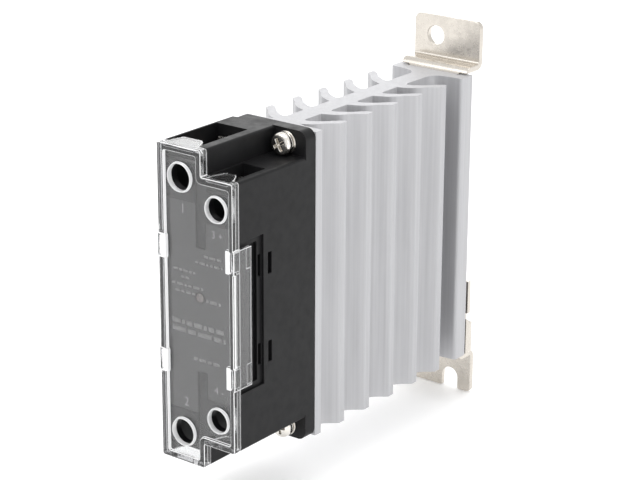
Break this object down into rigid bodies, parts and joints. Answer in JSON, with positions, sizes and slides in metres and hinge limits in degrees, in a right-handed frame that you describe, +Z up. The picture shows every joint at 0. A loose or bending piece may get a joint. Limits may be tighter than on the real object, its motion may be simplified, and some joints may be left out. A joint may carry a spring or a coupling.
{
  "type": "solid state relay",
  "caption": "Slim solid state relay with a finned heat sink, a clear terminal cover and a steel plate for rail or panel mounting.",
  "frame": {"origin": "middle of the face that bears on the rail's front, on the rail's centre line", "axes": "+Y towards the rail and the panel, +Z up along the fins, +X to the right seen from the front"},
  "size_m": [0.03, 0.132, 0.133],
  "materials": {
    "black_moulding": "fine matt moulded PBT",
    "label_film": "matt printed film",
    "clear_cover": "clear polycarbonate, bright edges",
    "light_pipe": "clear acrylic with a red tint",
    "led_lens": "red lens",
    "board": "green solder mask",
    "component_black": "moulded epoxy",
    "capacitor_box": "cast box",
    "resistor_body": "lacquered",
    "varistor_body": "blue epoxy dip",
    "tinned_copper": "tin plated, satin",
    "nickel": "bright nickel plate",
    "anodised": "bead blasted, clear anodised",
    "base_metal": "machined",
    "thermal_film": "soft heat transfer film",
    "ceramic": "white alumina",
    "silicon": "passivated die",
    "plated_steel": "nickel plated sheet"
  },
  "bodies": {
    "relay": {"housing": "black_moulding", "rating_label": "label_film", "light_pipe": "light_pipe", "indicator_led": "led_lens", "control_board": "board", "optocoupler": "component_black", "snubber_capacitor": "capacitor_box", "snubber_resistor": "resistor_body", "varistor": "varistor_body", "driver_chip": "component_black", "load_lead_top": "tinned_copper", "load_lead_bottom": "tinned_copper", "input_lead_top": "tinned_copper", "input_lead_bottom": "tinned_copper", "base_plate": "base_metal", "thermal_pad": "thermal_film", "ceramic_substrate": "ceramic", "thyristor_chips": "silicon", "flange_screws": "nickel", "flange_spring_washers": "nickel", "flange_flat_washers": "nickel", "heat_sink": "anodised", "mounting_plate": "plated_steel", "plate_screws": "nickel", "latch_rivets": "plated_steel", "latch_spring": "nickel"},
    "cover": {"terminal_cover": "clear_cover"},
    "rail_latch": {"rail_latch": "plated_steel"},
    "load_clamp_top": {"load_clamp_top": "nickel"},
    "load_screw_top": {"load_screw_top": "nickel"},
    "load_clamp_bottom": {"load_clamp_bottom": "nickel"},
    "load_screw_bottom": {"load_screw_bottom": "nickel"},
    "input_clamp_top": {"input_clamp_top": "nickel"},
    "input_screw_top": {"input_screw_top": "nickel"},
    "input_clamp_bottom": {"input_clamp_bottom": "nickel"},
    "input_screw_bottom": {"input_screw_bottom": "nickel"}
  },
  "joints": [
    {"name": "cover_pull", "type": "slide", "parent": "relay", "child": "cover", "axis": [0, -1, 0], "range_m": [0, 0.03]},
    {"name": "latch_release", "type": "slide", "parent": "relay", "child": "rail_latch", "axis": [0, 0, -1], "range_m": [0, 0.0032], "stiffness_N_per_m": 800, "springref_m": -0.003, "deforming": ["latch_spring"]},
    {"name": "load_clamp_top_lift", "type": "slide", "parent": "relay", "child": "load_clamp_top", "axis": [0, -1, 0], "range_m": [0, 0.0028]},
    {"name": "load_screw_top_turn", "type": "hinge", "parent": "load_clamp_top", "child": "load_screw_top", "pos_m": [-0.0061, -0.1045, 0.0488], "axis": [0, -1, 0], "range_deg": [0, 1445]},
    {"name": "load_clamp_bottom_lift", "type": "slide", "parent": "relay", "child": "load_clamp_bottom", "axis": [0, -1, 0], "range_m": [0, 0.0028]},
    {"name": "load_screw_bottom_turn", "type": "hinge", "parent": "load_clamp_bottom", "child": "load_screw_bottom", "pos_m": [-0.0061, -0.1045, -0.033], "axis": [0, -1, 0], "range_deg": [0, 1445]},
    {"name": "input_clamp_top_lift", "type": "slide", "parent": "relay", "child": "input_clamp_top", "axis": [0, -1, 0], "range_m": [0, 0.0024]},
    {"name": "input_screw_top_turn", "type": "hinge", "parent": "input_clamp_top", "child": "input_screw_top", "pos_m": [0.0078, -0.1045, 0.0415], "axis": [0, -1, 0], "range_deg": [0, 1445]},
    {"name": "input_clamp_bottom_lift", "type": "slide", "parent": "relay", "child": "input_clamp_bottom", "axis": [0, -1, 0], "range_m": [0, 0.0024]},
    {"name": "input_screw_bottom_turn", "type": "hinge", "parent": "input_clamp_bottom", "child": "input_screw_bottom", "pos_m": [0.0078, -0.1045, -0.0257], "axis": [0, -1, 0], "range_deg": [0, 1445]}
  ],
  "couplings": [
    {"joint": "load_screw_top_turn", "follows": "load_clamp_top_lift", "rad_per_m": 8976},
    {"joint": "load_screw_bottom_turn", "follows": "load_clamp_bottom_lift", "rad_per_m": 8976},
    {"joint": "input_screw_top_turn", "follows": "input_clamp_top_lift", "rad_per_m": 10472},
    {"joint": "input_screw_bottom_turn", "follows": "input_clamp_bottom_lift", "rad_per_m": 10472}
  ]
}
